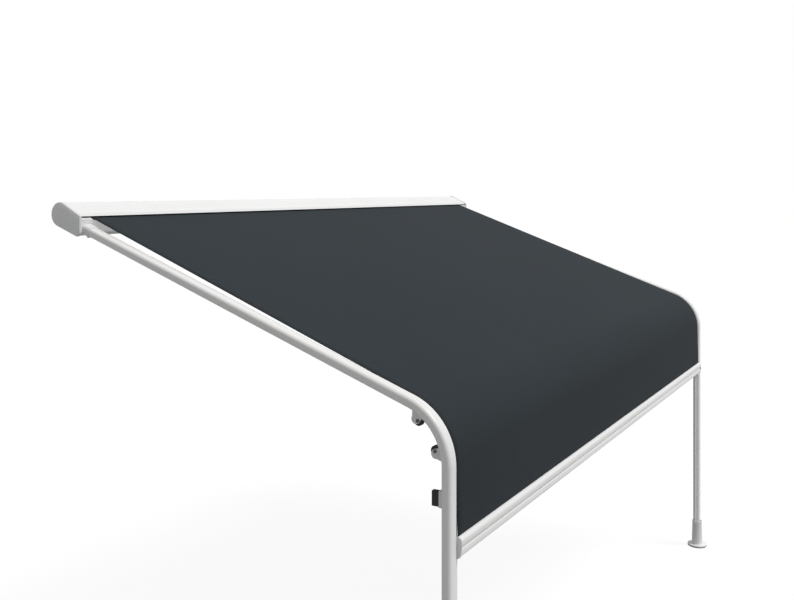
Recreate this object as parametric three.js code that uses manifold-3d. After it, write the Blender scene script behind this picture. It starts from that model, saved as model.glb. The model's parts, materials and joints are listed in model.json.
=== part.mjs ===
// Wall-mounted guide-rail awning: a tilted obround case at the wall, two rails that slope down and bend
// into posts, a cloth that runs from a roller in the case over the bend to a front bar between the posts.
// Millimetres, +Z up. X runs across the width, the wall is the plane y = 0 and the awning reaches to -Y.
// The origin is on the wall, behind the middle of the case.
import * as THREE from "three";
import { mergeVertices } from "three/addons/utils/BufferGeometryUtils.js";
import Module from "manifold-3d";

const wasm = await Module();
wasm.setup();

// Overall
const RAIL_SPAN = 4000; // between the centre lines of the two rails
const PROJECTION = 2170; // wall to the centre line of the posts
const CASE_HEIGHT = 2538; // floor to the axis of the case's round back
const SLOPE = THREE.MathUtils.degToRad(18.77); // fall of the rails from the case
const CORNER_DROP = 733; // where the lines of slope and post meet, below that axis
const GAP = 0.3; // between pieces that touch

// Case, by the outline of its end caps
const CASE_BACK_R = 60;
const CASE_BACK_REACH = 82; // wall to the axis of the round back
const CASE_FRONT = 227; // wall to the upright front
const CASE_TOP_FALL = THREE.MathUtils.degToRad(26);
const CASE_BASE_FALL = THREE.MathUtils.degToRad(19.3);
const CASE_TOP_R = 8; // front corners
const CASE_BASE_R = 25;
const CASE_OVERHANG = 51; // the end caps' outer faces beyond the rails' centre lines
const SHELL_INSET = 2.5; // hood and tray, inside the end caps' outline
const SHELL_WALL = 3;
const SHELL_SEAM = THREE.MathUtils.degToRad(62); // hood meets tray on the round back
const HOOD_FRONT = 203; // wall to the hood's front lip
const HOOD_LIP = 9; // its edge, below the axis of the round back
const TRAY_LIP = 28; // the tray's front edge, below the same axis
const SLOT_END_CLEAR = 3; // between the cloth's edge and the block that ends the case's slot
const END_CAP = 12;
const END_CAP_EDGE = 5; // rounded rim on the cap's outer face
const COVER_R = 14; // round cover over the roller's bearing
const COVER_THICK = 2.5;

// Wall brackets
const BRACKET_WIDTH = 120;
const BRACKET_TALL = 160;
const BRACKET_UP = 50; // top of the plate above the axis of the round back
const BRACKET_PLATE = 8;
const BRACKET_FROM_END = 539; // middle of the outer brackets, from the end caps
const SADDLE_UP = 42; // saddle behind the case, above and below the axis of its round back
const SADDLE_DOWN = 40;
const SCREW_HOLE_R = 5.5;
const SCREW_EDGE = 18; // hole centre from the plate's edges

// Roller
const ROLLER_R = 31.5;
const ROLLER_WALL = 1.5;
const ROLLER_REACH = 80; // wall to the roller's axis
const ROLLER_DROP = 10; // roller's axis below the axis of the round back
const ROLLER_END_GAP = 20; // roller end to the end cap
const ROLL_R = 36.5; // outside of the cloth left on the roller
const ROLL_SHORT = 4; // the wound cloth ends this far inside the tube's ends
const MOTOR_R = 22.5;
const MOTOR_LENGTH = 560;
const MOTOR_HEAD_R = 27;
const MOTOR_HEAD = 14;
const CROWN_LENGTH = 24;
const CROWN_INSET = 40; // crown, from the motor's inner end
const PLUG_LENGTH = 45;
const PIN_R = 6;
const TURN_CLEARANCE = 0.5; // radial, where something turns
const FIT_CLEARANCE = 0.4; // radial, where something is pushed in

// Rails: a rounded tube with a slotted track on its inner side
const TUBE_WIDE = 59;
const TUBE_DEEP = 42;
const TUBE_CORNER = 14.5;
const TUBE_WALL = 3;
const BEND_RADIUS = 240; // of the centre line
const BEND_STEPS = 12;
const TRACK_WIDE = 34;
const TRACK_DEEP = 17;
const TRACK_WALL = 3;
const TRACK_SLOT = 9;
const TRACK_EDGE = 1.5;
const TRACK_SET_BACK = 6; // middle of the track, behind the rail's centre line
const TRACK_END_GAP = 1; // over the foot's sleeve

// Rail heads, between the rails and the case
const HEAD_LENGTH = 40;
const HEAD_PROUD = 3.5;
const SPIGOT_LENGTH = 40;
const HEAD_BOSS_R = 9; // rounded boss under the head
const HEAD_BOSS_WIDE = 24;

// Cloth
const CLOTH_THICK = 1.2;
const CLOTH_CLEAR = 7; // over the track

// Front bar
const BAR_DROP = 261; // the bar's top, below the lower end of the bends
const BAR_HEIGHT = 74;
const BAR_FRONT = 36; // before the posts' centre line
const BAR_TRACK_GAP = 8; // bar to the tracks behind it
const BAR_WALL = 2.5;
const BAR_RIDGE_TALL = 31;
const BAR_RIDGE_FRONT = 31;
const BAR_GROOVE = 3;
const BAR_GROOVE_FRONT = 27.5;
const BAR_BACK_FALL = 14; // underside, from the ridge down to the back
const BAR_CAP = 3;
const BAR_SIDE_GAP = 3; // bar cap to the tube
const HEM_SLOT = 3;
const HEM_NECK = 4;
const HEM_BORE_R = 4.6;
const HEM_ROD_R = 3.6;
const HEM_STEPS = 12;
const SLIDER_ABOVE = 100; // slider reach above the bar's top
const SLIDER_CLEAR = 0.6;
const SLIDER_NECK_EDGE = 8; // neck, clear of the bar's top and underside

// Bend wheels, inside each bend
const WHEEL_R = 20;
const WHEEL_GROOVE = 4;
const WHEEL_WIDE = 16;
const WHEEL_ROOM = 0.6; // between the wheel and the fork's base
const WHEEL_SPREAD = THREE.MathUtils.degToRad(18.7); // either side of the bend's middle
const WHEEL_SIDE_GAP = 1;
const FORK_CHEEK = 3;
const FORK_BASE = 1.8;
const FORK_HALF_ANGLE = THREE.MathUtils.degToRad(5);
const FORK_SHIFT = THREE.MathUtils.degToRad(3); // fork, away from the bend's middle
const FORK_EYE_R = 19;
const WHEEL_PIN_R = 5;
const PIN_HEAD_R = 7;
const PIN_HEAD = 4;

// Lugs on the backs of the posts
const LUG_DROP = 119; // middle, below the lower end of the bends
const LUG_TALL = 57;
const LUG_DEEP = 30;
const LUG_WIDE = 20;
const HOLDER_DEEP = 16;
const HOLDER_WIDE = 24;
const HOLDER_EXTRA = 3; // holder taller than the lug, top and bottom

// Feet
const FLANGE_R = 68;
const FLANGE_THICK = 9;
const FLANGE_EDGE = 3;
const SLEEVE_TALL = 185; // top of the sleeve above the floor
const SLEEVE_WALL = 2.5;
const SLEEVE_FLARE = 4.2;
const FOOT_FLOOR = 8;
const PAD_THICK = 6;
const PAD_INSET = 1;

// Facets
const ROUND = 24;
const ARC = 2; // half the steps of a corner's arc
const WIDE_ARC = 5; // half the steps of a large arc
const QUARTER = Math.PI / 2;

// Derived places, as (y, z) in the plane of a rail
const railX = RAIL_SPAN / 2;
const floorZ = -CASE_HEIGHT;
const postY = -PROJECTION;
const cornerZ = -CORNER_DROP;
const tubeHalf = TUBE_WIDE / 2;
const tangentLength = BEND_RADIUS * Math.tan((QUARTER - SLOPE) / 2);
const bendEndZ = cornerZ - tangentLength;
const bendMiddle = new THREE.Vector2(postY + BEND_RADIUS, bendEndZ);
const railStartY = -CASE_FRONT - HEAD_LENGTH * Math.cos(SLOPE);
const railStartZ = cornerZ + (railStartY - postY) * Math.tan(SLOPE);
const trackFace = TRACK_DEEP / 2; // front of the track, before its own middle
const trackFront = trackFace - TRACK_SET_BACK; // and before the rail's centre line
const trackNear = tubeHalf + GAP; // sides of the track, inside the rail's centre line
const trackFar = trackNear + TRACK_WIDE;
const trackMiddle = (trackNear + trackFar) / 2;
const clothIn = trackFront + CLOTH_CLEAR;
const clothOut = clothIn + CLOTH_THICK;
const capInner = railX + CASE_OVERHANG - END_CAP;
const capOuter = railX + CASE_OVERHANG;
const wheelInset = TUBE_DEEP / 2 + GAP + FORK_BASE + WHEEL_ROOM + WHEEL_R; // inside the rail's centre line
const barTopZ = bendEndZ - BAR_DROP;
const barHalf = railX - tubeHalf - BAR_SIDE_GAP - BAR_CAP;
const clothHalf = barHalf - GAP; // the cloth ends inside the bar's caps
const footZ = floorZ + PAD_THICK + GAP;
const railEndZ = footZ + FOOT_FLOOR + GAP;
const trackEndZ = floorZ + SLEEVE_TALL + TRACK_END_GAP;
const caseBack = new THREE.Vector2(-CASE_BACK_REACH, 0);

// The direction out of the bend at an angle from upright
function outward(angle) {
  return new THREE.Vector2(-Math.sin(angle), Math.cos(angle));
}

// Middle of a case corner: a given distance behind the front and under a line that falls from the back
function frontCorner(front, radius, fall, side) {
  const y = -front + radius;
  const rise = side * (CASE_BACK_R - radius) - Math.sin(fall) * (-CASE_BACK_REACH - y);
  return new THREE.Vector2(y, rise / Math.cos(fall));
}

const topCorner = frontCorner(CASE_FRONT, CASE_TOP_R, CASE_TOP_FALL, 1);
const baseCorner = frontCorner(CASE_FRONT, CASE_BASE_R, CASE_BASE_FALL, -1);
const topAngle = QUARTER + CASE_TOP_FALL;
const baseAngle = 3 * QUARTER + CASE_BASE_FALL;

// Booleans
function solid(geometry) {
  const bare = geometry.index ? geometry.toNonIndexed() : geometry.clone();
  bare.deleteAttribute("normal");
  bare.deleteAttribute("uv");
  const merged = mergeVertices(bare, 1e-3);
  return new wasm.Manifold(
    new wasm.Mesh({
      numProp: 3,
      vertProperties: merged.attributes.position.array,
      triVerts: new Uint32Array(merged.index.array),
    }),
  );
}

function geometryOf(made) {
  const mesh = made.getMesh();
  const geometry = new THREE.BufferGeometry();
  geometry.setAttribute("position", new THREE.BufferAttribute(mesh.vertProperties, mesh.numProp));
  geometry.setIndex(new THREE.BufferAttribute(mesh.triVerts, 1));
  return geometry;
}

function join(first, ...others) {
  return geometryOf(others.reduce((all, one) => all.add(solid(one)), solid(first)));
}

function cut(first, ...others) {
  return geometryOf(others.reduce((all, one) => all.subtract(solid(one)), solid(first)));
}

// Shape makers
const acrossX = new THREE.Matrix4().makeBasis(
  new THREE.Vector3(0, 1, 0),
  new THREE.Vector3(0, 0, 1),
  new THREE.Vector3(1, 0, 0),
);

// A section drawn in (y, z), extruded from one x to another
function alongX(shape, fromX, toX, arcSteps = ARC) {
  const geometry = new THREE.ExtrudeGeometry(shape, {
    depth: toX - fromX,
    bevelEnabled: false,
    curveSegments: arcSteps,
  });
  return geometry.applyMatrix4(acrossX).translate(fromX, 0, 0);
}

function box(low, high) {
  const size = new THREE.Vector3().subVectors(high, low);
  const middle = new THREE.Vector3().addVectors(low, high).multiplyScalar(0.5);
  return new THREE.BoxGeometry(size.x, size.y, size.z).translate(middle.x, middle.y, middle.z);
}

// A profile of (radius, place) points turned about a line along X
function turnedX(profile, y, z) {
  const points = profile.map(([radius, place]) => new THREE.Vector2(radius, place));
  return new THREE.LatheGeometry(points, ROUND).rotateZ(-QUARTER).translate(0, y, z);
}

function ringX(outer, inner, fromX, toX, axis) {
  const profile = [
    [inner, fromX],
    [outer, fromX],
    [outer, toX],
    [inner, toX],
    [inner, fromX],
  ];
  return turnedX(profile, axis.x, axis.y);
}

function rodX(radius, fromX, toX, axis) {
  const profile = [
    [0, fromX],
    [radius, fromX],
    [radius, toX],
    [0, toX],
  ];
  return turnedX(profile, axis.x, axis.y);
}

function roundedRect(path, wide, deep, corner) {
  const x = wide / 2 - corner;
  const y = deep / 2 - corner;
  path.absarc(x, -y, corner, -QUARTER, 0, false);
  path.absarc(x, y, corner, 0, QUARTER, false);
  path.absarc(-x, y, corner, QUARTER, 2 * QUARTER, false);
  path.absarc(-x, -y, corner, 2 * QUARTER, 3 * QUARTER, false);
  path.closePath();
  return path;
}

// The end caps' outline in (y, z), smaller by an inset
function caseOutline(inset) {
  const shape = new THREE.Shape();
  shape.absarc(caseBack.x, caseBack.y, CASE_BACK_R - inset, baseAngle - 4 * QUARTER, topAngle, false);
  shape.absarc(topCorner.x, topCorner.y, CASE_TOP_R - inset, topAngle, 2 * QUARTER, false);
  shape.absarc(baseCorner.x, baseCorner.y, CASE_BASE_R - inset, 2 * QUARTER, baseAngle, false);
  shape.closePath();
  return shape;
}

// A path given by its stations, so that a straight stretch needs no steps of its own
class StationPath extends THREE.Curve {
  constructor(stations) {
    super();
    this.stations = stations;
  }

  getTangentAt(u, target = new THREE.Vector3()) {
    const station = this.stations[Math.round(u * (this.stations.length - 1))];
    return target.copy(station.tangent);
  }

  getSpacedPoints() {
    return this.stations.map((station) => station.point);
  }
}

// A station in the left rail's plane, with the direction of travel down the rail
function station(y, z, angle) {
  return {
    point: new THREE.Vector3(-railX, y, z),
    tangent: new THREE.Vector3(0, -Math.cos(angle), -Math.sin(angle)),
  };
}

// A place on the sloping stretch, by its distance down from the rail's upper end
function onSlope(distance) {
  const y = railStartY - distance * Math.cos(SLOPE);
  const z = railStartZ - distance * Math.sin(SLOPE);
  return station(y, z, SLOPE);
}

// From the upper end of the rail round the bend and down to a height
function downRail(endZ) {
  const stations = [onSlope(0)];
  for (let i = 0; i <= BEND_STEPS; i += 1) {
    const angle = SLOPE + ((QUARTER - SLOPE) * i) / BEND_STEPS;
    const place = bendMiddle.clone().addScaledVector(outward(angle), BEND_RADIUS);
    stations.push(station(place.x, place.y, angle));
  }
  stations.push(station(postY, endZ, QUARTER));
  return stations;
}

// Section x is outboard of the left rail, section y is towards the inside of the bend
function sweep(shape, stations) {
  return new THREE.ExtrudeGeometry(shape, {
    steps: stations.length - 1,
    extrudePath: new StationPath(stations),
    curveSegments: ARC,
  });
}

// Case
const shellOut = CASE_BACK_R - SHELL_INSET;
const shellIn = shellOut - SHELL_WALL;
const hoodCorner = frontCorner(HOOD_FRONT + SHELL_INSET, CASE_TOP_R + SHELL_INSET, CASE_TOP_FALL, 1);

function caseHood() {
  const shape = new THREE.Shape();
  const outer = CASE_TOP_R;
  const inner = CASE_TOP_R - SHELL_WALL;
  const lipY = hoodCorner.x;
  shape.absarc(caseBack.x, caseBack.y, shellOut, SHELL_SEAM, topAngle, false);
  shape.absarc(lipY, hoodCorner.y, outer, topAngle, 2 * QUARTER, false);
  shape.lineTo(lipY - outer, -HOOD_LIP);
  shape.lineTo(lipY - inner, -HOOD_LIP);
  shape.absarc(lipY, hoodCorner.y, inner, 2 * QUARTER, topAngle, true);
  shape.absarc(caseBack.x, caseBack.y, shellIn, topAngle, SHELL_SEAM, true);
  shape.closePath();
  return alongX(shape, -capInner + GAP, capInner - GAP, WIDE_ARC);
}

function caseTray() {
  const shape = new THREE.Shape();
  const outer = CASE_BASE_R - SHELL_INSET;
  const inner = outer - SHELL_WALL;
  const seam = SHELL_SEAM - GAP / shellIn;
  const start = baseAngle - 4 * QUARTER;
  shape.moveTo(baseCorner.x - outer, -TRAY_LIP);
  shape.absarc(baseCorner.x, baseCorner.y, outer, 2 * QUARTER, baseAngle, false);
  shape.absarc(caseBack.x, caseBack.y, shellOut, start, seam, false);
  shape.absarc(caseBack.x, caseBack.y, shellIn, seam, start, true);
  shape.absarc(baseCorner.x, baseCorner.y, inner, baseAngle, 2 * QUARTER, true);
  shape.lineTo(baseCorner.x - inner, -TRAY_LIP);
  shape.closePath();
  return alongX(shape, -capInner + GAP, capInner - GAP, WIDE_ARC);
}

// Closes the slot between hood and tray, outside the cloth's edge
function slotEnd() {
  return box(
    new THREE.Vector3(-capInner + GAP, SHELL_INSET - CASE_FRONT, GAP - TRAY_LIP),
    new THREE.Vector3(-clothHalf - SLOT_END_CLEAR, SHELL_WALL - HOOD_FRONT, -HOOD_LIP - GAP),
  );
}

// The cap narrows to its outer face in two steps
function caseEnd() {
  const third = END_CAP_EDGE / 3;
  const rim = alongX(caseOutline(0), -capOuter + END_CAP_EDGE, -capInner, WIDE_ARC);
  const middle = alongX(caseOutline(third), -capOuter + third, -capInner, WIDE_ARC);
  const face = alongX(caseOutline(END_CAP_EDGE), -capOuter, -capInner, WIDE_ARC);
  return join(rim, middle, face);
}

function bearingCover() {
  return rodX(COVER_R, -capOuter - GAP - COVER_THICK, -capOuter - GAP, rollerAxis);
}

function wallBracket(x) {
  const half = BRACKET_WIDTH / 2;
  const low = BRACKET_UP - BRACKET_TALL;
  const plate = box(
    new THREE.Vector3(x - half, -BRACKET_PLATE, low),
    new THREE.Vector3(x + half, 0, BRACKET_UP),
  );
  const saddle = box(
    new THREE.Vector3(x - half, caseBack.x, -SADDLE_DOWN),
    new THREE.Vector3(x + half, -BRACKET_PLATE / 2, SADDLE_UP),
  );
  const holes = [-1, 1].map((side) =>
    new THREE.CylinderGeometry(SCREW_HOLE_R, SCREW_HOLE_R, 3 * BRACKET_PLATE, ROUND / 2).translate(
      x + side * (half - SCREW_EDGE),
      -BRACKET_PLATE / 2,
      low + SCREW_EDGE,
    ),
  );
  const roomR = (shellOut + GAP) / Math.cos(Math.PI / ROUND);
  const room = rodX(roomR, x - BRACKET_WIDTH, x + BRACKET_WIDTH, caseBack);
  return cut(join(plate, saddle), room, ...holes);
}

// Roller
const rollerAxis = new THREE.Vector2(-ROLLER_REACH, -ROLLER_DROP);
const rollerHalf = capInner - ROLLER_END_GAP;
const rollerInner = ROLLER_R - ROLLER_WALL;
const rollHalf = rollerHalf - ROLL_SHORT;

function tubeMotor() {
  const outerEnd = capInner - GAP;
  const profile = [
    [0, outerEnd - MOTOR_LENGTH],
    [MOTOR_R, outerEnd - MOTOR_LENGTH],
    [MOTOR_R, outerEnd - MOTOR_HEAD],
    [MOTOR_HEAD_R, outerEnd - MOTOR_HEAD],
    [MOTOR_HEAD_R, outerEnd],
    [0, outerEnd],
  ];
  return turnedX(profile, rollerAxis.x, rollerAxis.y);
}

function driveCrown() {
  const start = capInner - GAP - MOTOR_LENGTH + CROWN_INSET;
  const outer = rollerInner - FIT_CLEARANCE;
  return ringX(outer, MOTOR_R + TURN_CLEARANCE, start, start + CROWN_LENGTH, rollerAxis);
}

function idlerPlug() {
  const outer = rollerInner - FIT_CLEARANCE;
  return ringX(outer, PIN_R + TURN_CLEARANCE, -rollerHalf, -rollerHalf + PLUG_LENGTH, rollerAxis);
}

function idlerPin() {
  return rodX(PIN_R, -capInner + GAP, -rollerHalf + PLUG_LENGTH, rollerAxis);
}

// Rails
function rail() {
  const shape = roundedRect(new THREE.Shape(), TUBE_WIDE, TUBE_DEEP, TUBE_CORNER);
  const bore = roundedRect(
    new THREE.Path(),
    TUBE_WIDE - 2 * TUBE_WALL,
    TUBE_DEEP - 2 * TUBE_WALL,
    TUBE_CORNER - TUBE_WALL,
  );
  shape.holes.push(bore);
  return sweep(shape, downRail(railEndZ));
}

// Half of a section that is the same on both sides of the track's middle, as (aside, before) points
function trackShape(half) {
  const mirrored = half.map(([aside, before]) => [-aside, before]).reverse();
  const points = [...half, ...mirrored];
  const placed = points.map(([aside, before]) => [-trackMiddle + aside, TRACK_SET_BACK - before]);
  return new THREE.Shape(placed.map(([x, y]) => new THREE.Vector2(x, y)));
}

function track() {
  const side = TRACK_WIDE / 2;
  const slot = TRACK_SLOT / 2;
  const room = trackFace - TRACK_WALL;
  const half = [
    [side - TRACK_WALL, -room],
    [side - TRACK_WALL, room],
    [slot, room],
    [slot, trackFace],
    [side - TRACK_EDGE, trackFace],
    [side, trackFace - TRACK_EDGE],
    [side, TRACK_EDGE - trackFace],
    [side - TRACK_EDGE, -trackFace],
  ];
  return sweep(trackShape(half), downRail(trackEndZ));
}

function railHead() {
  const outer = roundedRect(
    new THREE.Shape(),
    TUBE_WIDE + 2 * HEAD_PROUD,
    TUBE_DEEP + 2 * HEAD_PROUD,
    TUBE_CORNER + HEAD_PROUD,
  );
  const spare = TUBE_WALL + FIT_CLEARANCE;
  const inner = roundedRect(
    new THREE.Shape(),
    TUBE_WIDE - 2 * spare,
    TUBE_DEEP - 2 * spare,
    TUBE_CORNER - spare,
  );
  const sleeve = sweep(outer, [onSlope(-2 * HEAD_LENGTH), onSlope(-GAP)]);
  const spigot = sweep(inner, [onSlope(-HEAD_LENGTH / 4), onSlope(SPIGOT_LENGTH)]);
  const under = onSlope(-HEAD_LENGTH / 2).point;
  const bossAxis = new THREE.Vector2(
    under.y + Math.sin(SLOPE) * (TUBE_DEEP / 2 + HEAD_PROUD),
    under.z - Math.cos(SLOPE) * (TUBE_DEEP / 2 + HEAD_PROUD),
  );
  const boss = rodX(HEAD_BOSS_R, -railX - HEAD_BOSS_WIDE / 2, -railX + HEAD_BOSS_WIDE / 2, bossAxis);
  const tray = caseOutline(SHELL_INSET - GAP);
  const caseSide = alongX(tray, -railX - TUBE_WIDE, -railX + TUBE_WIDE, WIDE_ARC);
  return join(cut(join(sleeve, boss), caseSide), spigot);
}

// Cloth: straight from the roll to the bend, round it, and down to the bar
const towardsBend = new THREE.Vector2().subVectors(bendMiddle, rollerAxis);
const rollSide = ROLL_R + GAP;
const bendSide = BEND_RADIUS + clothIn;
const clothTurn = Math.acos((rollSide - bendSide) / towardsBend.length());
const clothNormal = towardsBend.angle() - clothTurn;

function clothCanopy() {
  const start = new THREE.Vector2(Math.cos(clothNormal), Math.sin(clothNormal));
  const rollIn = rollerAxis.clone().addScaledVector(start, rollSide);
  const rollOut = rollerAxis.clone().addScaledVector(start, rollSide + CLOTH_THICK);
  const shape = new THREE.Shape();
  shape.moveTo(rollOut.x, rollOut.y);
  shape.absarc(bendMiddle.x, bendMiddle.y, bendSide + CLOTH_THICK, clothNormal, 2 * QUARTER, false);
  shape.absarc(bendMiddle.x, bendMiddle.y, bendSide, 2 * QUARTER, clothNormal, true);
  shape.lineTo(rollIn.x, rollIn.y);
  shape.closePath();
  return alongX(shape, -clothHalf, clothHalf, BEND_STEPS / 2);
}

// Front bar, drawn by its distance before the posts' centre line and its place under the bar's top
const barBack = trackFront + BAR_TRACK_GAP;
const hemForward = barBack + BAR_WALL + HEM_BORE_R;
const hemDrop = HEM_NECK + HEM_BORE_R;
const slotFront = hemForward + HEM_SLOT / 2;
const slotBack = hemForward - HEM_SLOT / 2;
const barCrown = BAR_FRONT - slotFront;

function barPoint(forward, down) {
  return new THREE.Vector2(postY - forward, barTopZ - down);
}

function clothDrop() {
  const half = CLOTH_THICK / 2;
  const points = [
    barPoint(hemForward + half, HEM_NECK - GAP),
    barPoint(hemForward - half, HEM_NECK - GAP),
    new THREE.Vector2(postY - clothIn, bendEndZ - GAP),
    new THREE.Vector2(postY - clothOut, bendEndZ - GAP),
  ];
  return alongX(new THREE.Shape(points), -clothHalf, clothHalf);
}

// The rounded crown, from the cloth's slot to the bar's front
function barCrownLine() {
  const points = [];
  for (let i = 0; i <= WIDE_ARC; i += 1) {
    const angle = (QUARTER * i) / WIDE_ARC;
    const forward = slotFront + barCrown * Math.sin(angle);
    points.push(barPoint(forward, barCrown * (1 - Math.cos(angle))));
  }
  return points;
}

// The bar's front, over the crown and down to the underside
function barFrontLine() {
  const ridgeTop = BAR_HEIGHT - BAR_RIDGE_TALL;
  const corners = [
    [BAR_FRONT - BAR_WALL / 2, ridgeTop - 2 * BAR_GROOVE],
    [BAR_GROOVE_FRONT, ridgeTop - BAR_GROOVE],
    [BAR_GROOVE_FRONT, ridgeTop],
    [BAR_RIDGE_FRONT, ridgeTop + BAR_GROOVE],
    [BAR_RIDGE_FRONT, BAR_HEIGHT - BAR_GROOVE],
    [BAR_RIDGE_FRONT - BAR_GROOVE, BAR_HEIGHT],
  ];
  return [...barCrownLine(), ...corners.map(([forward, down]) => barPoint(forward, down))];
}

function frontBar() {
  const mouth = Math.asin(HEM_SLOT / 2 / HEM_BORE_R);
  const bore = [];
  for (let i = 0; i <= HEM_STEPS; i += 1) {
    const angle = mouth + ((4 * QUARTER - 2 * mouth) * i) / HEM_STEPS;
    const forward = hemForward - HEM_BORE_R * Math.sin(angle);
    bore.push(barPoint(forward, hemDrop - HEM_BORE_R * Math.cos(angle)));
  }
  const back = [
    [barBack, BAR_HEIGHT + BAR_BACK_FALL],
    [barBack, BAR_GROOVE],
    [barBack + BAR_GROOVE, 0],
    [slotBack, 0],
  ];
  const outline = [...barFrontLine(), ...back.map(([forward, down]) => barPoint(forward, down)), ...bore];
  const shape = new THREE.Shape(outline);
  const under = hemDrop + HEM_BORE_R + BAR_WALL;
  const hollow = [
    [barBack + BAR_WALL, under],
    [barBack + BAR_WALL, BAR_HEIGHT - BAR_WALL],
    [BAR_GROOVE_FRONT - BAR_WALL, BAR_HEIGHT - BAR_WALL],
    [BAR_GROOVE_FRONT - BAR_WALL, under],
  ];
  shape.holes.push(new THREE.Path(hollow.map(([forward, down]) => barPoint(forward, down))));
  return alongX(shape, -barHalf, barHalf);
}

// The caps keep the crown's outline and close the groove
function barEnd() {
  const lower = [
    [BAR_FRONT, BAR_HEIGHT - BAR_RIDGE_TALL],
    [BAR_RIDGE_FRONT, BAR_HEIGHT],
    [barBack, BAR_HEIGHT + BAR_BACK_FALL],
    [barBack, 0],
  ];
  const outline = [...barCrownLine(), ...lower.map(([forward, down]) => barPoint(forward, down))];
  return alongX(new THREE.Shape(outline), -barHalf - BAR_CAP, -barHalf - GAP);
}

function hemRod() {
  return rodX(HEM_ROD_R, -barHalf + GAP, barHalf - GAP, barPoint(hemForward, hemDrop));
}

function barSlider() {
  const middle = -railX + trackMiddle;
  const half = TRACK_WIDE / 2 - TRACK_WALL - SLIDER_CLEAR;
  const neck = TRACK_SLOT / 2 - SLIDER_CLEAR;
  const room = trackFace - TRACK_WALL - SLIDER_CLEAR;
  const middleY = postY + TRACK_SET_BACK;
  const block = box(
    new THREE.Vector3(middle - half, middleY - room, barTopZ - BAR_HEIGHT),
    new THREE.Vector3(middle + half, middleY + room, barTopZ + SLIDER_ABOVE),
  );
  const tongue = box(
    new THREE.Vector3(middle - neck, postY - barBack + GAP, barTopZ - BAR_HEIGHT + SLIDER_NECK_EDGE),
    new THREE.Vector3(middle + neck, middleY, barTopZ - SLIDER_NECK_EDGE),
  );
  return join(block, tongue);
}

// Bend wheels
const bendHalf = (SLOPE + QUARTER) / 2;
const railInside = BEND_RADIUS - TUBE_DEEP / 2; // inner wall of the bend
const cheekIn = WHEEL_WIDE / 2 + WHEEL_SIDE_GAP;
const cheekOut = cheekIn + FORK_CHEEK;

function wheelAxis(angle) {
  return bendMiddle.clone().addScaledVector(outward(angle), BEND_RADIUS - wheelInset);
}

function bendWheel(angle) {
  const place = wheelAxis(angle);
  const half = WHEEL_WIDE / 2;
  const bore = WHEEL_PIN_R + TURN_CLEARANCE;
  const profile = [
    [bore, -half],
    [WHEEL_R, -half],
    [WHEEL_R, -half / 2],
    [WHEEL_R - WHEEL_GROOVE, 0],
    [WHEEL_R, half / 2],
    [WHEEL_R, half],
    [bore, half],
    [bore, -half],
  ];
  return turnedX(profile, place.x, place.y).translate(-railX, 0, 0);
}

function wheelFork(angle) {
  const outer = railInside - GAP;
  const place = wheelAxis(angle);
  const middle = angle + Math.sign(angle - bendHalf) * FORK_SHIFT;
  const eye = wheelAxis(middle);
  const from = middle + QUARTER - FORK_HALF_ANGLE;
  const to = middle + QUARTER + FORK_HALF_ANGLE;
  const base = new THREE.Shape();
  base.absarc(bendMiddle.x, bendMiddle.y, outer, from, to, false);
  base.absarc(bendMiddle.x, bendMiddle.y, outer - FORK_BASE, to, from, true);
  base.closePath();
  const cheek = new THREE.Shape();
  cheek.absarc(bendMiddle.x, bendMiddle.y, outer, from, to, false);
  cheek.absarc(eye.x, eye.y, FORK_EYE_R, middle + 2 * QUARTER, middle + 4 * QUARTER, false);
  cheek.closePath();
  const bore = rodX(WHEEL_PIN_R + FIT_CLEARANCE, -railX - TUBE_WIDE, -railX + TUBE_WIDE, place);
  const left = alongX(cheek, -railX - cheekOut, -railX - cheekIn, WIDE_ARC);
  const right = alongX(cheek, -railX + cheekIn, -railX + cheekOut, WIDE_ARC);
  return cut(join(alongX(base, -railX - cheekOut, -railX + cheekOut), left, right), bore);
}

function wheelPin(angle) {
  const place = wheelAxis(angle);
  const inner = cheekOut + GAP;
  const outer = inner + PIN_HEAD;
  const profile = [
    [0, -outer],
    [PIN_HEAD_R, -outer],
    [PIN_HEAD_R, -inner],
    [WHEEL_PIN_R, -inner],
    [WHEEL_PIN_R, inner],
    [PIN_HEAD_R, inner],
    [PIN_HEAD_R, outer],
    [0, outer],
  ];
  return turnedX(profile, place.x, place.y).translate(-railX, 0, 0);
}

// Lugs
const lugZ = bendEndZ - LUG_DROP;
const holderY = postY + TUBE_DEEP / 2 + GAP;
const lugY = holderY + HOLDER_DEEP + GAP;

function lugHolder() {
  const half = LUG_TALL / 2 + HOLDER_EXTRA;
  return box(
    new THREE.Vector3(-railX - HOLDER_WIDE / 2, holderY, lugZ - half),
    new THREE.Vector3(-railX + HOLDER_WIDE / 2, holderY + HOLDER_DEEP, lugZ + half),
  );
}

function lug() {
  return box(
    new THREE.Vector3(-railX - LUG_WIDE / 2, lugY, lugZ - LUG_TALL / 2),
    new THREE.Vector3(-railX + LUG_WIDE / 2, lugY + LUG_DEEP, lugZ + LUG_TALL / 2),
  );
}

// Feet
const tubeReach = Math.hypot(tubeHalf - TUBE_CORNER, TUBE_DEEP / 2 - TUBE_CORNER) + TUBE_CORNER;
const footBore = tubeReach + FIT_CLEARANCE;

function turnedZ(profile, z) {
  const points = profile.map(([radius, place]) => new THREE.Vector2(radius, place));
  return new THREE.LatheGeometry(points, ROUND).rotateX(QUARTER).translate(-railX, postY, z);
}

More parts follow.
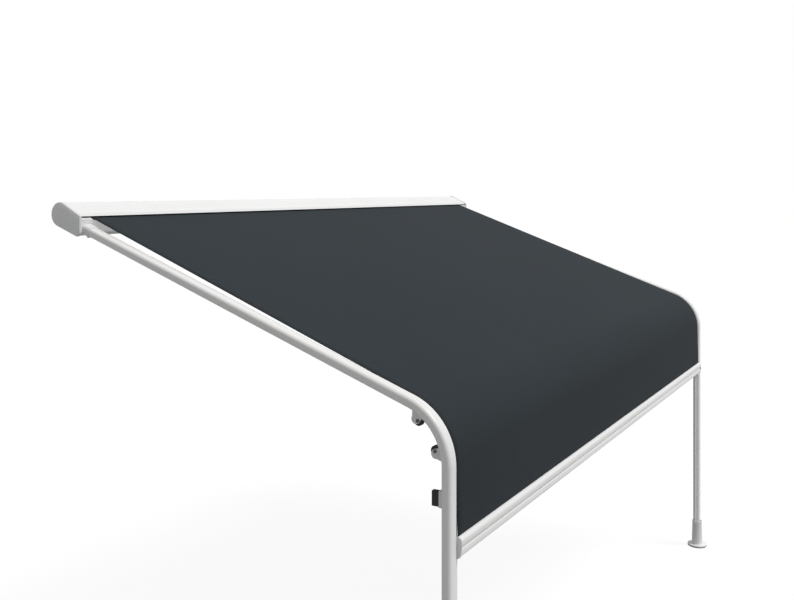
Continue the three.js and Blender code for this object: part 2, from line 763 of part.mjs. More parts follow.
function foot() {
  const top = floorZ + SLEEVE_TALL - footZ;
  const outer = footBore + SLEEVE_WALL;
  const profile = [
    [0, 0],
    [FLANGE_R, 0],
    [FLANGE_R, FLANGE_THICK - FLANGE_EDGE],
    [FLANGE_R - FLANGE_EDGE, FLANGE_THICK],
    [outer + SLEEVE_FLARE, FLANGE_THICK],
    [outer, top],
    [footBore, top],
    [footBore, FOOT_FLOOR],
    [0, FOOT_FLOOR],
  ];
  return turnedZ(profile, footZ);
}

function footPad() {
  const radius = FLANGE_R - PAD_INSET;
  const profile = [
    [0, 0],
    [radius, 0],
    [radius, PAD_THICK],
    [0, PAD_THICK],
  ];
  return turnedZ(profile, floorZ);
}

// Finishes
const FINISH = {
  white: { color: 0xe9e9e8, roughness: 0.38, metalness: 0 },
  cloth: { color: 0x3e4346, roughness: 0.95, metalness: 0 },
  aluminium: { color: 0xb9bbbd, roughness: 0.4, metalness: 1 },
  steel: { color: 0x77797b, roughness: 0.35, metalness: 1 },
  grey: { color: 0x8b8d8f, roughness: 0.55, metalness: 0 },
  black: { color: 0x1f2022, roughness: 0.6, metalness: 0 },
};

const awning = new THREE.Group();

function add(name, geometry, finish) {
  const mesh = new THREE.Mesh(geometry, new THREE.MeshStandardMaterial(FINISH[finish]));
  mesh.name = name;
  awning.add(mesh);
  return mesh;
}

// A piece of the left side, and its mirror image on the right
function addPair(name, geometry, finish) {
  add(name + "_left", geometry, finish);
  add(name + "_right", geometry, finish).scale.x = -1;
}

add("case_hood", caseHood(), "white");
add("case_tray", caseTray(), "white");
addPair("case_end", caseEnd(), "white");
addPair("slot_end", slotEnd(), "white");
addPair("bearing_cover", bearingCover(), "white");
add("wall_bracket_middle", wallBracket(0), "white");
addPair("wall_bracket", wallBracket(-capInner + BRACKET_FROM_END), "white");

add("roller_tube", ringX(ROLLER_R, rollerInner, -rollerHalf, rollerHalf, rollerAxis), "aluminium");
add("cloth_roll", ringX(ROLL_R, ROLLER_R + GAP, -rollHalf, rollHalf, rollerAxis), "cloth");
add("tube_motor", tubeMotor(), "steel");
add("drive_crown", driveCrown(), "black");
add("idler_plug", idlerPlug(), "black");
add("idler_pin", idlerPin(), "steel");

add("cloth_canopy", clothCanopy(), "cloth");
add("cloth_drop", clothDrop(), "cloth");

add("front_bar", frontBar(), "white");
addPair("bar_end", barEnd(), "grey");
add("hem_rod", hemRod(), "grey");
addPair("bar_slider", barSlider(), "grey");

addPair("rail", rail(), "white");
addPair("track", track(), "white");
addPair("rail_head", railHead(), "white");

const wheels = { upper: bendHalf - WHEEL_SPREAD, lower: bendHalf + WHEEL_SPREAD };
for (const [which, angle] of Object.entries(wheels)) {
  addPair("wheel_fork_" + which, wheelFork(angle), "grey");
  addPair("bend_wheel_" + which, bendWheel(angle), "black");
  addPair("wheel_pin_" + which, wheelPin(angle), "steel");
}

addPair("lug_holder", lugHolder(), "grey");
addPair("lug", lug(), "black");

addPair("foot", foot(), "white");
addPair("foot_pad", footPad(), "black");

export default awning;
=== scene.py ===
"""Looks of a guide-rail awning: smooth coated profiles, one continuous cloth, small fittings, studio."""
import json
import math

import bmesh
import bpy
from bmesh.types import BMEdge, BMFace, BMVert
from mathutils import Matrix, Vector

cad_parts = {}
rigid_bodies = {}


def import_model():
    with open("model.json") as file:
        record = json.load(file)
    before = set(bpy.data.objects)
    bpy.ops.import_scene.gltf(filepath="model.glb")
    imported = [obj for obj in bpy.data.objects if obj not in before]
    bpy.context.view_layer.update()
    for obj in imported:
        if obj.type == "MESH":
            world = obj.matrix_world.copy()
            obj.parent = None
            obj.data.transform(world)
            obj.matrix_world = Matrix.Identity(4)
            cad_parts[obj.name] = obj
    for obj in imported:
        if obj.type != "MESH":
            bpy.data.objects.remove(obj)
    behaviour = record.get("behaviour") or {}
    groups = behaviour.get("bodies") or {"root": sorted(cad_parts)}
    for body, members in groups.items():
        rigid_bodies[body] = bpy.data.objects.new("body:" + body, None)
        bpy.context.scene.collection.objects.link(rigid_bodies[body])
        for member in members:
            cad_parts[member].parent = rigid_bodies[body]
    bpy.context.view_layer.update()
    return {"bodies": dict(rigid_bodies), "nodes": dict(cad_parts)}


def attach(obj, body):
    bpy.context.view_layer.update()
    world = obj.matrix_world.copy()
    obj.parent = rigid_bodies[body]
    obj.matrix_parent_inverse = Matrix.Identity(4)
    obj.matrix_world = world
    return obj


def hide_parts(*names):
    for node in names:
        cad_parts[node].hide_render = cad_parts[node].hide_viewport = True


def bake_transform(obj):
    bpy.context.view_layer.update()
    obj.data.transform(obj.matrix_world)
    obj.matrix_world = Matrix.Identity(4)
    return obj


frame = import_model()

ACROSS = Vector((1, 0, 0))
UP = Vector((0, 0, 1))
TOUCH = 1e-6
FINE_TOUCH = 1e-7

# Sizes in metres, as in the part's source, with small ones that only the looks need
GAP = 0.0003
FLOOR_Z = -2.538

# Sizes of the rails and their tracks
RAIL_X = 2.0
POST_Y = -2.17
CORNER_Z = -0.733
SLOPE = math.radians(18.77)
BEND_R = 0.24
BEND_ANGLE = math.pi / 2 - SLOPE
BEND_HALF = (SLOPE + math.pi / 2) / 2
BEND_END_Z = CORNER_Z - BEND_R * math.tan(BEND_ANGLE / 2)
BEND = Vector((0, POST_Y + BEND_R, BEND_END_Z))
BEND_LEFT = Vector((-RAIL_X, BEND.y, BEND.z))
BEND_STEPS = 32
TUBE_WIDE = 0.059
TUBE_DEEP = 0.042
TUBE_CORNER = 0.0145
TUBE_END_Z = FLOOR_Z + 0.0146
TRACK_WIDE = 0.034
TRACK_HALF = 0.0085
TRACK_WALL = 0.003
TRACK_EDGE = 0.0015
TRACK_SLOT = 0.009
TRACK_IN = TUBE_WIDE / 2 + GAP + TRACK_WIDE / 2
TRACK_BACK = 0.006
TRACK_END_Z = FLOOR_Z + 0.186

# Sizes of the case
CASE_FRONT = 0.227
CASE_BACK = Vector((0, -0.082, 0))
CASE_BACK_R = 0.06
TOP_FALL = math.radians(26)
TOP_ANGLE = math.pi / 2 + TOP_FALL
TOP_R = 0.008
BASE_FALL = math.radians(19.3)
BASE_ANGLE = 3 * math.pi / 2 + BASE_FALL
BASE_R = 0.025
SHELL_INSET = 0.0025
SHELL_WALL = 0.003
SEAM = math.radians(62)
HOOD_FRONT = 0.203
HOOD_LIP = -0.009
HOOD_GROOVES = (0.36, 0.66)
GROOVE_DEEP = 0.002
LIP_TURN = math.radians(145)
TRAY_LIP = -0.028
CAP_OUTER = RAIL_X + 0.051
CAP_INNER = CAP_OUTER - 0.012
CAP_ROUND = 0.0072
PANEL_INSET = 0.0135
PANEL_PROUD = 0.0014
SLOT_END_FRONT = 0.0035
SLOT_END_DROP = 0.005
SLOT_END_ROOM = 0.003
COVER_R = 0.014
COVER_PROUD = 0.0025
COVER_EDGE = 0.001
DISH_R = 0.004
DISH_RIM_R = 0.0095
DISH_DEEP = 0.0023
ROLLER = Vector((0, -0.08, -0.01))
ROLL_R = 0.0365

# Sizes of the head between rail and case
HEAD_LENGTH = 0.04
HEAD_PROUD = 0.0035
HEAD_REACH = 0.06
HEAD_ROUND = 0.0022
BOSS_R = 0.009
BOSS_HALF = 0.012
BOSS_EDGE = 0.0015
RAIL_START = Vector((-RAIL_X, -CASE_FRONT - HEAD_LENGTH * math.cos(SLOPE), 0))
RAIL_START.z = CORNER_Z + (RAIL_START.y - POST_Y) * math.tan(SLOPE)

# Sizes of the wheels, forks, pins and lugs
WHEEL_R = 0.02
WHEEL_WIDE = 0.016
WHEEL_BORE = 0.0055
WHEEL_EDGE = 0.0008
WHEEL_GROOVE = 0.004
HUB_R = 0.009
WEB_R = 0.0145
WEB_DEEP = 0.0015
WHEEL_INSET = 0.0437
WHEEL_SPREAD = math.radians(18.7)
WHEELS = {"upper": BEND_HALF - WHEEL_SPREAD, "lower": BEND_HALF + WHEEL_SPREAD}
FORK_HALF = math.radians(5)
FORK_SHIFT = math.radians(3)
FORK_FLARE = math.radians(3.2)
FORK_BASE_R = BEND_R - TUBE_DEEP / 2 - GAP
FORK_BASE = 0.0018
FORK_EYE_R = 0.019
CHEEK_IN = 0.009
CHEEK_OUT = 0.012
PIN_R = 0.005
PIN_HEAD_R = 0.007
PIN_HEAD = 0.004
PIN_SOCKET_R = 0.003
PIN_EDGE = 0.0012
LUG_Z = BEND_END_Z - 0.119
HOLDER_Y = POST_Y + TUBE_DEEP / 2 + GAP
HOLDER_DEEP = 0.016
HOLDER_HALF_WIDE = 0.012
HOLDER_HALF_TALL = 0.0315
LUG_Y = HOLDER_Y + HOLDER_DEEP + GAP
LUG_DEEP = 0.03
LUG_HALF_WIDE = 0.01
LUG_HALF_TALL = 0.0285
LUG_ROUND = 0.0012

# Sizes of the feet
PAD_R = 0.067
PAD_TALL = 0.006
PAD_EDGE = 0.001
FLANGE_R = 0.068
FLANGE_TALL = 0.009
FOOT_INSIDE = 0.008
FOOT_BORE = 0.03125
SLEEVE_WALL = 0.0025
SLEEVE_TOP = FLOOR_Z + 0.185

# Sizes of the front bar
BAR_TOP_Z = BEND_END_Z - 0.261
BAR_TALL = 0.074
BAR_RIDGE = 0.031
BAR_FALL = 0.014
BAR_FRONT = 0.036
BAR_BACK = 0.0105
BAR_CORNER = 0.003
BAR_LIP = 0.0015
BAR_HALF = 1.9645
BAR_CAP = 0.003
BAR_CAP_EDGE = 0.0008
RIDGE_FRONT = 0.031
RIDGE_TOP_FRONT = 0.0286
HEM_FORWARD = 0.0176
HEM_SLOT = 0.003
HEM_SLOT_DEEP = 0.004

# Sizes of the cloth, its weave and its sewing
CLOTH_THICK = 0.0007
CLOTH_LIFT = 0.0101
CLOTH_BEND_R = BEND_R + CLOTH_LIFT
CLOTH_HALF = 1.9642
CLOTH_OFF_ROLL = 0.0009
CLOTH_IN_BAR = 0.0035
SAG = 0.007
SLOPE_STEPS = 60
DROP_STEPS = 40
CROSS_STEPS = 96
THREAD = 0.0011
HEM_WIDE = 0.03
STITCH_IN = 0.026
STITCH_HALF = 0.0012
STITCH_PITCH = 0.004
STITCH_GAP = 0.35
SEAM_OUT = 0.6
SEAM_HALF = 0.009


def heading(angle):
    """Down the rail, at an angle below the level."""
    return Vector((0, -math.cos(angle), -math.sin(angle)))


def outward(angle):
    """Out of the bend, at an angle from upright."""
    return Vector((0, -math.sin(angle), math.cos(angle)))


def on_circle(middle, radius, angle):
    """A point of a circle seen from the end; the angle starts at the back and rises."""
    return middle + radius * Vector((0, math.cos(angle), math.sin(angle)))


# Materials


class Value:
    """A shader socket that takes part in Python sums."""

    def __init__(self, sheet, socket):
        self.sheet = sheet
        self.socket = socket

    def __add__(self, other):
        return self.sheet.maths("ADD", self, other)

    __radd__ = __add__

    def __sub__(self, other):
        return self.sheet.maths("SUBTRACT", self, other)

    def __rsub__(self, other):
        return self.sheet.maths("SUBTRACT", other, self)

    def __mul__(self, other):
        return self.sheet.maths("MULTIPLY", self, other)

    __rmul__ = __mul__

    def __gt__(self, other):
        return self.sheet.maths("GREATER_THAN", self, other)


class Sheet:
    """The node sheet of one material or world."""

    def __init__(self, owner):
        owner.use_nodes = True
        self.tree = owner.node_tree
        self.tree.nodes.clear()

    def node(self, kind, settings=None, inputs=None, output=0):
        made = self.tree.nodes.new(kind)
        for name, value in (settings or {}).items():
            setattr(made, name, value)
        for name, value in (inputs or {}).items():
            if isinstance(value, Value):
                self.tree.links.new(value.socket, made.inputs[name])
            else:
                made.inputs[name].default_value = value
        return Value(self, made.outputs[output]) if made.outputs else None

    def maths(self, operation, *values):
        return self.node("ShaderNodeMath", {"operation": operation}, dict(enumerate(values)))

    def blend(self, factor, first, second):
        """A mix of two colours, by the Mix node's own colour sockets."""
        return self.node("ShaderNodeMix", {"data_type": "RGBA"}, {0: factor, 6: first, 7: second}, 2)

    def spread(self, value, low, high):
        """Opens a range out to run from 0 to 1."""
        return self.node("ShaderNodeMapRange", None, {0: value, 1: low, 2: high})

    def place(self):
        return self.node("ShaderNodeTexCoord", None, None, "Object")

    def stretched(self, place, scale):
        return self.node("ShaderNodeMapping", None, {"Vector": place, "Scale": scale})

    def noise(self, place, scale, detail):
        return self.node("ShaderNodeTexNoise", None, {"Vector": place, "Scale": scale, "Detail": detail})

    def bump(self, height, strength, distance):
        inputs = {"Strength": strength, "Distance": distance, "Height": height}
        return self.node("ShaderNodeBump", None, inputs)


def grey(level):
    return (level, level, level, 1)


def finish_material(name, build):
    material = bpy.data.materials.new(name)
    sheet = Sheet(material)
    shader = sheet.node("ShaderNodeBsdfPrincipled", None, build(sheet))
    sheet.node("ShaderNodeOutputMaterial", None, {"Surface": shader})
    return material


def coat(base, dusty, rough):
    """Powder coat: a fine orange peel, faint cloudiness and a little dust."""

    def build(sheet):
        place = sheet.place()
        cloud = sheet.noise(place, scale=2.3, detail=5.0)
        specks = sheet.noise(place, scale=60.0, detail=6.0)
        peel = sheet.noise(place, scale=900.0, detail=2.0)
        dust = sheet.spread(cloud * specks, low=0.22, high=0.42)
        return {
            "Base Color": sheet.blend(dust * 0.6, base, dusty),
            "Roughness": dust * 0.1 + rough,
            "Normal": sheet.bump(peel, strength=0.08, distance=0.0002),
        }

    return build


def moulded(base, worn, rough, shine=0.5):
    """Moulded plastic: a fine grain with slightly paler rubbed places."""

    def build(sheet):
        place = sheet.place()
        grain = sheet.node("ShaderNodeTexVoronoi", None, {"Vector": place, "Scale": 1400.0})
        rubbed = sheet.spread(sheet.noise(place, scale=38.0, detail=6.0), low=0.5, high=0.75)
        return {
            "Base Color": sheet.blend(rubbed, base, worn),
            "Roughness": rough - rubbed * 0.12,
            "Specular IOR Level": shine,
            "Normal": sheet.bump(grain, strength=0.15, distance=0.0002),
        }

    return build


def drawn_metal(base, dark, rough):
    """Drawn or turned metal: streaks along the width."""

    def build(sheet):
        long = sheet.stretched(sheet.place(), (3.0, 500.0, 500.0))
        streak = sheet.noise(long, scale=1.0, detail=4.0)
        return {
            "Base Color": sheet.blend(streak, base, dark),
            "Roughness": streak * 0.2 + rough,
            "Metallic": 1.0,
        }

    return build


DARK_YARN = (0.0255, 0.0308, 0.0351, 1)
PALE_YARN = (0.0345, 0.0413, 0.047, 1)
SEWN_YARN = (0.021, 0.025, 0.028, 1)
STITCH_YARN = (0.055, 0.062, 0.067, 1)
ROLL_DARK = (0.036, 0.043, 0.047, 1)
ROLL_PALE = (0.05, 0.058, 0.062, 1)


def woven(sheet):
    """Acrylic awning cloth: a plain weave of two close greys, sewn hems and panel seams."""
    metres = sheet.node("ShaderNodeUVMap", {"uv_map": "metres"})
    across = sheet.node("ShaderNodeSeparateXYZ", None, {"Vector": metres}, "X")
    down = sheet.node("ShaderNodeSeparateXYZ", None, {"Vector": metres}, "Y")
    wave = 2 * math.pi / THREAD
    weave = sheet.maths("SINE", across * wave) * sheet.maths("SINE", down * wave) * 0.5 + 0.5
    yarn = sheet.noise(sheet.stretched(metres, (420.0, 1.4, 1.0)), scale=1.0, detail=3.0)
    cloud = sheet.noise(metres, scale=1.1, detail=5.0)
    tone = sheet.spread(yarn * 0.55 + cloud * 0.3 + weave * 0.15, low=0.3, high=0.7)
    aside = sheet.maths("ABSOLUTE", across)
    hem = aside > CLOTH_HALF - HEM_WIDE
    seam = sheet.maths("COMPARE", aside, SEAM_OUT, SEAM_HALF)
    row = sheet.maths("COMPARE", aside, CLOTH_HALF - STITCH_IN, STITCH_HALF)
    stitch = row * (sheet.maths("FRACT", down * (1 / STITCH_PITCH)) > STITCH_GAP)
    plain = sheet.blend(tone, DARK_YARN, PALE_YARN)
    sewn = sheet.blend(hem * 0.2 + seam * 0.15, plain, SEWN_YARN)
    relief = weave * 0.35 + hem * 0.8 + seam * 0.7 + stitch
    return {
        "Base Color": sheet.blend(stitch * 0.6, sewn, STITCH_YARN),
        "Roughness": tone * 0.06 + 0.86,
        "Specular IOR Level": 0.08,
        "Normal": sheet.bump(relief, strength=0.35, distance=0.0006),
    }


def wound(sheet):
    """The cloth on the roller, where the weave is a fine mottle."""
    weave = sheet.noise(sheet.place(), scale=900.0, detail=2.0)
    return {
        "Base Color": sheet.blend(weave, ROLL_DARK, ROLL_PALE),
        "Roughness": 0.9,
        "Normal": sheet.bump(weave, strength=0.3, distance=0.0005),
    }


WHITE = finish_material(
    "white_powder_coat", coat((0.79, 0.79, 0.785, 1), (0.74, 0.737, 0.725, 1), 0.34)
)
WHITE_PLASTIC = finish_material(
    "white_moulding", moulded((0.7, 0.705, 0.71, 1), (0.74, 0.74, 0.74, 1), 0.46)
)
GREY = finish_material(
    "grey_moulding", moulded((0.12, 0.124, 0.128, 1), (0.17, 0.173, 0.176, 1), 0.55)
)
BLACK = finish_material(
    "black_moulding", moulded((0.01, 0.01, 0.011, 1), (0.022, 0.022, 0.023, 1), 0.5, 0.28)
)
RUBBER = finish_material(
    "foot_rubber", moulded((0.02, 0.02, 0.02, 1), (0.045, 0.044, 0.042, 1), 0.85)
)
ALUMINIUM = finish_material(
    "mill_aluminium", drawn_metal((0.72, 0.73, 0.74, 1), (0.58, 0.59, 0.6, 1), 0.28)
)
STEEL = finish_material(
    "zinc_steel", drawn_metal((0.1, 0.102, 0.105, 1), (0.06, 0.062, 0.064, 1), 0.34)
)
CLOTH = finish_material("anthracite_cloth", woven)
WOUND_CLOTH = finish_material("wound_cloth", wound)


# Mesh helpers


def only(kind, geom):
    return [part for part in geom if isinstance(part, kind)]


def chain(bm, points):
    """Draws one vertex out from point to point, and gives the edges."""
    tip = bmesh.ops.create_vert(bm, co=points[0])["vert"][0]
    edges = []
    for point in points[1:]:
        made = bmesh.ops.extrude_vert_indiv(bm, verts=[tip])
        tip = made["verts"][0]
        tip.co = point
        edges += made["edges"]
    return edges


def close(bm):
    """Joins the two ends of an outline, if it is open, and fills it."""
    ends = [vert for vert in bm.verts if len(vert.link_edges) == 1]
    if ends:
        bmesh.ops.contextual_create(bm, geom=ends)
    bmesh.ops.contextual_create(bm, geom=bm.edges[:])


def push(bm, faces, travel):
    """Extrudes faces along a line, and gives the faces at its end."""
    made = bmesh.ops.extrude_face_region(bm, geom=faces)["geom"]
    bmesh.ops.translate(bm, verts=only(BMVert, made), vec=travel)
    return only(BMFace, made)


def swing(bm, geom, middle, angle, steps):
    """Sweeps geometry round an axis along X, and gives what is at the end of the sweep."""
    return bmesh.ops.spin(
        bm, geom=geom, cent=middle, axis=ACROSS, angle=angle, steps=steps, use_duplicate=False
    )["geom_last"]


class Pen:
    """Draws an outline in the plane x = 0 by extruding and spinning one vertex."""

    def __init__(self, start):
        self.bm = bmesh.new()
        self.tip = bmesh.ops.create_vert(self.bm, co=start)["vert"][0]

    def line(self, end):
        self.tip = bmesh.ops.extrude_vert_indiv(self.bm, verts=[self.tip])["verts"][0]
        self.tip.co = end
        return self

    def arc(self, middle, angle, steps):
        self.tip = only(BMVert, swing(self.bm, [self.tip], middle, angle, steps))[0]
        return self

    def across(self, low, high):
        """The outline as a solid from one x to another."""
        bm = self.bm
        bmesh.ops.remove_doubles(bm, verts=bm.verts, dist=FINE_TOUCH)
        close(bm)
        bmesh.ops.translate(bm, verts=bm.verts, vec=(low, 0, 0))
        push(bm, bm.faces[:], (high - low, 0, 0))
        return bm


def join(bm, other):
    """Adds another mesh to a mesh."""
    carried = bpy.data.meshes.new("carried")
    other.to_mesh(carried)
    other.free()
    bm.from_mesh(carried)
    bpy.data.meshes.remove(carried)
    return bm


def soften(bm, edges, width, segments=3):
    bmesh.ops.bevel(
        bm,
        geom=edges,
        offset=width,
        offset_type="OFFSET",
        affect="EDGES",
        segments=segments,
        profile=0.5,
        material=-1,
    )
    return bm


def soften_rim(bm, x, width, segments):
    """Rounds the edges that lie at one x."""
    rim = [edge for edge in bm.edges if all(abs(vert.co.x - x) < TOUCH for vert in edge.verts)]
    return soften(bm, rim, width, segments)


def rounded_slab(wide, deep, corner):
    """A rounded rectangle in the plane z = 0."""
    bm = bmesh.new()
    bmesh.ops.create_grid(bm, x_segments=1, y_segments=1, size=0.5)
    bmesh.ops.scale(bm, vec=(wide, deep, 1), verts=bm.verts)
    bmesh.ops.bevel(
        bm, geom=bm.verts[:], offset=corner, affect="VERTICES", segments=8, profile=0.5, material=-1
    )
    return bm


def block(low, high, round_by):
    """A box between two corners, with all its edges rounded."""
    low, high = Vector(low), Vector(high)
    bm = bmesh.new()
    bmesh.ops.create_cube(bm, size=1)
    bmesh.ops.scale(bm, vec=high - low, verts=bm.verts)
    bmesh.ops.translate(bm, vec=(high + low) / 2, verts=bm.verts)
    return soften(bm, bm.edges[:], round_by)


def turned(profile, middle, axis, steps):
    """A profile of (radius, place along the axis) points, spun about ACROSS or UP."""
    bm = bmesh.new()
    side = UP if axis == ACROSS else ACROSS
    edges = chain(bm, [axis * place + side * radius for radius, place in profile])
    bmesh.ops.spin(
        bm,
        geom=edges + bm.verts[:],
        cent=(0, 0, 0),
        axis=axis,
        angle=2 * math.pi,
        steps=steps,
        use_duplicate=False,
        use_merge=True,
    )
    bmesh.ops.remove_doubles(bm, verts=bm.verts, dist=TOUCH)
    bmesh.ops.translate(bm, vec=middle, verts=bm.verts)
    return bm


def show(name, data):
    """A new object in the scene, with this mesh, lamp or lens."""
    made = bpy.data.objects.new(name, data)
    bpy.context.scene.collection.objects.link(made)
    return made


def finished_mesh(name, bm):
    mesh = bpy.data.meshes.new(name)
    bm.to_mesh(mesh)
    bm.free()
    return mesh


def piece(name, bm, material, nodes, body="frame", edge=0.0, sharp=32):
    """Closes a mesh, gives it its finish and lets it stand for its CAD nodes."""
    bmesh.ops.remove_doubles(bm, verts=bm.verts, dist=TOUCH)
    bmesh.ops.recalc_face_normals(bm, faces=bm.faces)
    mesh = finished_mesh(name, bm)
    mesh.polygons.foreach_set("use_smooth", [True] * len(mesh.polygons))
    mesh.set_sharp_from_angle(angle=math.radians(sharp))
    mesh.materials.append(material)
    made = show(name, mesh)
    if edge:
        rim = made.modifiers.new("edge", "BEVEL")
        rim.width = edge
        rim.segments = 2
        rim.limit_method = "ANGLE"
        rim.angle_limit = math.radians(sharp)
    if body:
        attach(made, body)
    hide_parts(*nodes)
    return made


def pair(name, make, material, body="frame", edge=0.0):
    """A piece of the left side, and its mirror image on the right."""
    for side, sign in (("left", 1), ("right", -1)):
        bm = make()
        bmesh.ops.scale(bm, vec=(sign, 1, 1), verts=bm.verts)
        rides = body if body in frame["bodies"] else f"{body}_{side}"
        piece(f"{name}_{side}", bm, material, [f"{name}_{side}"], rides, edge)


# Case


def front_corner(front, radius, fall, side, back=CASE_BACK_R):
    """The middle of a rounded front corner; side is 1 for the top's and -1 for the base's."""
    y = -front + radius
    rise = side * (back - radius) - math.sin(fall) * (CASE_BACK.y - y)
    return Vector((0, y, rise / math.cos(fall)))


BASE_CORNER = front_corner(CASE_FRONT, BASE_R, BASE_FALL, -1)
HOOD_CORNER = front_corner(HOOD_FRONT + SHELL_INSET, TOP_R + SHELL_INSET, TOP_FALL, 1)


def case_outline(inset):
    back = CASE_BACK_R - inset
    base_r = BASE_R - inset
    top = front_corner(CASE_FRONT - inset, TOP_R, TOP_FALL, 1, back)
    base = front_corner(CASE_FRONT - inset, base_r, BASE_FALL, -1, back)
    start = BASE_ANGLE - 2 * math.pi
    pen = Pen(on_circle(CASE_BACK, back, start))
    pen.arc(CASE_BACK, TOP_ANGLE - start, steps=40)
    pen.line(on_circle(top, TOP_R, TOP_ANGLE))
    pen.arc(top, math.pi - TOP_ANGLE, steps=10)
    pen.line(on_circle(base, base_r, math.pi))
    pen.arc(base, BASE_ANGLE - math.pi, steps=20)
    return pen


def grooved(pen, end):
    """A straight line with the hood's small grooves across it."""
    start = pen.tip.co.copy()
    run = (end - start).normalized()
    out = Vector((0, run.z, -run.y))
    for share in HOOD_GROOVES:
        dip = start.lerp(end, share)
        for offset in (-run, -out, run):
            pen.line(dip + offset * GROOVE_DEEP)
    pen.line(end)


def case_hood():
    """The upper shell, with a lip that turns out over the slot."""
    outer = CASE_BACK_R - SHELL_INSET
    inner = outer - SHELL_WALL
    pen = Pen(on_circle(CASE_BACK, outer, SEAM))
    pen.arc(CASE_BACK, TOP_ANGLE - SEAM, steps=20)
    grooved(pen, on_circle(HOOD_CORNER, TOP_R, TOP_ANGLE))
    pen.arc(HOOD_CORNER, LIP_TURN - TOP_ANGLE, steps=10)
    slant = on_circle(Vector(), 1, LIP_TURN + math.pi / 2)
    for radius in (TOP_R, TOP_R - SHELL_WALL):
        top = on_circle(HOOD_CORNER, radius, LIP_TURN)
        pen.line(top + slant * ((HOOD_LIP - top.z) / slant.z))
    pen.line(top)
    pen.arc(HOOD_CORNER, TOP_ANGLE - LIP_TURN, steps=10)
    pen.line(on_circle(CASE_BACK, inner, TOP_ANGLE))
    pen.arc(CASE_BACK, SEAM - TOP_ANGLE, steps=20)
    return pen.across(-CAP_INNER + GAP, CAP_INNER - GAP)


def case_tray():
    """The lower shell, from the slot round the back to the hood's seam."""
    outer = BASE_R - SHELL_INSET
    inner = outer - SHELL_WALL
    back = CASE_BACK_R - SHELL_INSET
    seam = SEAM - GAP / (back - SHELL_WALL)
    start = BASE_ANGLE - 2 * math.pi
    pen = Pen(Vector((0, BASE_CORNER.y - outer, TRAY_LIP)))
    pen.line(on_circle(BASE_CORNER, outer, math.pi))
    pen.arc(BASE_CORNER, BASE_ANGLE - math.pi, steps=16)
    pen.line(on_circle(CASE_BACK, back, start))
    pen.arc(CASE_BACK, seam - start, steps=36)
    pen.line(on_circle(CASE_BACK, back - SHELL_WALL, seam))
    pen.arc(CASE_BACK, start - seam, steps=36)
    pen.line(on_circle(BASE_CORNER, inner, BASE_ANGLE))
    pen.arc(BASE_CORNER, math.pi - BASE_ANGLE, steps=16)
    pen.line(Vector((0, BASE_CORNER.y - inner, TRAY_LIP)))
    return pen.across(-CAP_INNER + GAP, CAP_INNER - GAP)


def capped(inset, outer, inner, round_by):
    """A slab of the case's outline with its outer rim rounded."""
    return soften_rim(case_outline(inset).across(-outer, -inner), -outer, round_by, segments=6)


def case_end():
    """The cap, with a raised panel that leaves a border round it."""
    panel = capped(PANEL_INSET, CAP_OUTER + PANEL_PROUD, CAP_OUTER - PANEL_PROUD, PANEL_PROUD)
    return join(capped(0, CAP_OUTER, CAP_INNER, CAP_ROUND), panel)


def slot_end():
    """The block that ends the case's slot beside the cloth; its top falls with the cloth."""
    front, back = SHELL_INSET - CASE_FRONT, SHELL_WALL - HOOD_FRONT
    low = TRAY_LIP + GAP
    pen = Pen(Vector((0, front, low)))
    pen.line(Vector((0, front, low + SLOT_END_FRONT)))
    pen.line(Vector((0, back, HOOD_LIP - SLOT_END_DROP)))
    pen.line(Vector((0, back, low)))
    return pen.across(-CAP_INNER + GAP, -CLOTH_HALF - SLOT_END_ROOM)


def bearing_cover():
    """A round cover on the cap, with a shallow dish in it."""
    face = -CAP_OUTER - PANEL_PROUD - COVER_PROUD
    dish = face + DISH_DEEP
    profile = [
        (0, dish),
        (DISH_R, dish),
        (DISH_R + 0.0006, dish - 0.0002),
        (DISH_RIM_R - 0.0007, face + 0.0002),
        (DISH_RIM_R, face),
        (COVER_R - COVER_EDGE, face),
        (COVER_R, face + COVER_EDGE),
        (COVER_R, -CAP_OUTER - GAP),
        (0, -CAP_OUTER - GAP),
    ]
    return turned(profile, (0, ROLLER.y, ROLLER.z), ACROSS, steps=40)


piece("case_hood", case_hood(), WHITE, ["case_hood"], edge=0.0005)
tray = piece("case_tray", case_tray(), WHITE, ["case_tray"], edge=0.0005)
pair("case_end", case_end, WHITE_PLASTIC)
pair("slot_end", slot_end, WHITE_PLASTIC, edge=0.0008)
pair("bearing_cover", bearing_cover, WHITE_PLASTIC)


# Rails


def at_rail(bm, distance):
    """Sets a section square to the slope, at a distance down from the rail's upper end."""
    up = outward(SLOPE)
    place = RAIL_START + heading(SLOPE) * distance
    turn = Matrix((ACROSS, up, ACROSS.cross(up))).transposed().to_4x4()
    bmesh.ops.transform(bm, matrix=Matrix.Translation(place) @ turn, verts=bm.verts)
    return bm


def run_down(section, end_z):
    """Sweeps a section from the rail's upper end round the bend and down."""
    bm = at_rail(section, 0)
    bend_start = BEND_LEFT + outward(SLOPE) * BEND_R
    faces = push(bm, bm.faces[:], bend_start - RAIL_START)
    faces = only(BMFace, swing(bm, faces, BEND_LEFT, BEND_ANGLE, BEND_STEPS))
    push(bm, faces, (0, 0, end_z - BEND_END_Z))
    return bm


def rail():
    return run_down(rounded_slab(TUBE_WIDE, TUBE_DEEP, TUBE_CORNER), TUBE_END_Z)


